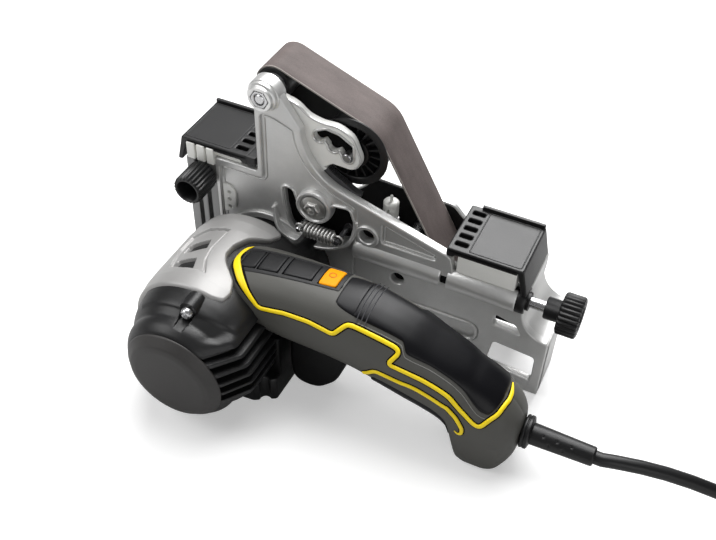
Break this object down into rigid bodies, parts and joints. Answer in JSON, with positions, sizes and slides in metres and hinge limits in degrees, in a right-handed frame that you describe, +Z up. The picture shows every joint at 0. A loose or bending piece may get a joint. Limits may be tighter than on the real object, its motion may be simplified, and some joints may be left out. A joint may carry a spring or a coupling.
{
  "type": "electric belt knife sharpener",
  "caption": "Electric belt knife sharpener: motor with drooping trigger handle drives an abrasive belt on a cast frame with adjustable blade guides.",
  "frame": {"origin": "underside of the sole, half way across it, below the rail", "axes": "X along the frame to the right, Y away from the handle, Z up"},
  "size_m": [0.4383, 0.1763, 0.1523],
  "materials": {
    "cast_aluminium": "satin cast",
    "index_aluminium": "satin",
    "bright_steel": "bright",
    "bearing_steel": "ground",
    "black_plastic": "matte",
    "guide_plastic": "fine grain",
    "carriage_alloy": "satin",
    "arm_metal": "satin black",
    "brass": "turned",
    "belt_cloth": "abrasive cloth",
    "motor_plastic": "fine grain",
    "collar_paint": "satin grey",
    "handle_plastic": "fine grain",
    "grip_rubber": "soft touch",
    "accent_yellow": "gloss",
    "key_plastic": "satin",
    "power_orange": "satin",
    "cord_rubber": "satin"
  },
  "bodies": {
    "root": {"frame_casting": "cast_aluminium", "rear_guard": "cast_aluminium", "guard_posts": "bright_steel", "guard_screws": "bright_steel", "rubber_feet": "grip_rubber", "index_plate": "index_aluminium", "scale_tab": "index_aluminium", "wheel_bearings": "bearing_steel", "top_bolt": "bright_steel", "top_nut": "bright_steel", "index_bearing": "bearing_steel", "index_axle": "bright_steel", "lower_axle": "bright_steel", "abrasive_belt": "belt_cloth", "pivot_bolt": "bright_steel", "tension_spring": "bright_steel", "screw_bush": "black_plastic", "motor_housing": "motor_plastic", "end_cap": "motor_plastic", "satin_collar": "collar_paint", "housing_screws": "bright_steel", "stator": "bearing_steel", "motor_bearings": "bearing_steel", "brush_holders": "black_plastic", "handle_front": "handle_plastic", "handle_rear": "handle_plastic", "top_grip": "grip_rubber", "lower_grip": "grip_rubber", "accent_beads": "accent_yellow", "trigger_pin": "bright_steel", "strain_relief": "cord_rubber", "power_cord": "cord_rubber", "cord_coil": "cord_rubber", "cord_tie": "cord_rubber", "mains_plug": "cord_rubber"},
    "drive": {"motor_shaft": "bright_steel", "armature": "bearing_steel", "cooling_fan": "black_plastic", "drive_wheel": "black_plastic"},
    "top": {"top_wheel": "black_plastic"},
    "index": {"index_wheel": "black_plastic"},
    "lower": {"lower_wheel": "black_plastic"},
    "arm": {"tension_arm": "arm_metal", "roller_bearing": "bearing_steel"},
    "roller": {"tension_roller": "black_plastic"},
    "right_slider": {"right_guide": "guide_plastic", "right_carriage": "carriage_alloy", "screw_nut": "brass"},
    "screw": {"adjusting_screw": "bright_steel", "right_knob": "black_plastic"},
    "left_slider": {"left_guide": "guide_plastic", "left_carriage": "carriage_alloy"},
    "clamp": {"left_knob": "black_plastic", "clamp_stud": "bright_steel"},
    "trigger_lever": {"trigger": "black_plastic"},
    "lock": {"lock_key": "key_plastic"},
    "slow": {"slow_key": "key_plastic"},
    "fast": {"fast_key": "key_plastic"},
    "power": {"power_key": "power_orange"},
    "tracking": {"tracking_screw": "bright_steel"}
  },
  "joints": [
    {"name": "drive_spin", "type": "hinge", "parent": "root", "child": "drive", "pos_m": [-0.063, 0, 0.036], "axis": [0, 1, 0], "continuous": true},
    {"name": "top_spin", "type": "hinge", "parent": "root", "child": "top", "pos_m": [-0.0625, 0, 0.142], "axis": [0, 1, 0], "continuous": true},
    {"name": "index_spin", "type": "hinge", "parent": "root", "child": "index", "pos_m": [-0.0188, 0, 0.1162], "axis": [0, 1, 0], "continuous": true},
    {"name": "lower_spin", "type": "hinge", "parent": "root", "child": "lower", "pos_m": [0.047, 0, 0.017], "axis": [0, 1, 0], "continuous": true},
    {"name": "arm_swing", "type": "hinge", "parent": "root", "child": "arm", "pos_m": [-0.035, 0, 0.082], "axis": [0, 1, 0], "range_deg": [-10, 0], "stiffness_Nm_per_rad": 1.2, "springref_deg": 11.46, "deforming": ["tension_spring"]},
    {"name": "roller_spin", "type": "hinge", "parent": "arm", "child": "roller", "pos_m": [-0.008, 0, 0.0246], "axis": [0, 1, 0], "continuous": true},
    {"name": "screw_turn", "type": "hinge", "parent": "root", "child": "screw", "pos_m": [0, -0.009, 0.0615], "axis": [1, 0, 0], "range_deg": [0, 720]},
    {"name": "right_slide", "type": "slide", "parent": "root", "child": "right_slider", "axis": [1, 0, 0], "range_m": [0, 0.0096]},
    {"name": "left_slide", "type": "slide", "parent": "root", "child": "left_slider", "axis": [1, 0, 0], "range_m": [-0.008, 0]},
    {"name": "clamp_turn", "type": "hinge", "parent": "root", "child": "clamp", "pos_m": [-0.1012, 0, 0.081], "axis": [0, 1, 0], "range_deg": [0, 360]},
    {"name": "trigger_pull", "type": "hinge", "parent": "root", "child": "trigger_lever", "pos_m": [-0.0175, 0, 0.046], "axis": [0, 1, 0], "range_deg": [-8, 0], "stiffness_Nm_per_rad": 0.8, "springref_deg": 5.73},
    {"name": "lock_press", "type": "slide", "parent": "root", "child": "lock", "axis": [0, 0, 1], "range_m": [-0.001, 0], "stiffness_N_per_m": 600, "springref_m": 0.0005},
    {"name": "slow_press", "type": "slide", "parent": "root", "child": "slow", "axis": [0, 0, 1], "range_m": [-0.001, 0], "stiffness_N_per_m": 600, "springref_m": 0.0005},
    {"name": "fast_press", "type": "slide", "parent": "root", "child": "fast", "axis": [0, 0, 1], "range_m": [-0.001, 0], "stiffness_N_per_m": 600, "springref_m": 0.0005},
    {"name": "power_press", "type": "slide", "parent": "root", "child": "power", "axis": [0, 0, 1], "range_m": [-0.001, 0], "stiffness_N_per_m": 600, "springref_m": 0.0005},
    {"name": "tracking_turn", "type": "hinge", "parent": "root", "child": "tracking", "pos_m": [0.0008, 0.004, 0.08], "axis": [0, 0, 1], "range_deg": [-90, 90]}
  ],
  "couplings": [
    {"joint": "top_spin", "follows": "drive_spin", "ratio": 0.92893},
    {"joint": "lower_spin", "follows": "drive_spin", "ratio": 0.92893},
    {"joint": "index_spin", "follows": "drive_spin", "ratio": 0.50137},
    {"joint": "roller_spin", "follows": "drive_spin", "ratio": 1.0457},
    {"joint": "right_slide", "follows": "screw_turn", "m_per_rad": 0.00063662}
  ]
}
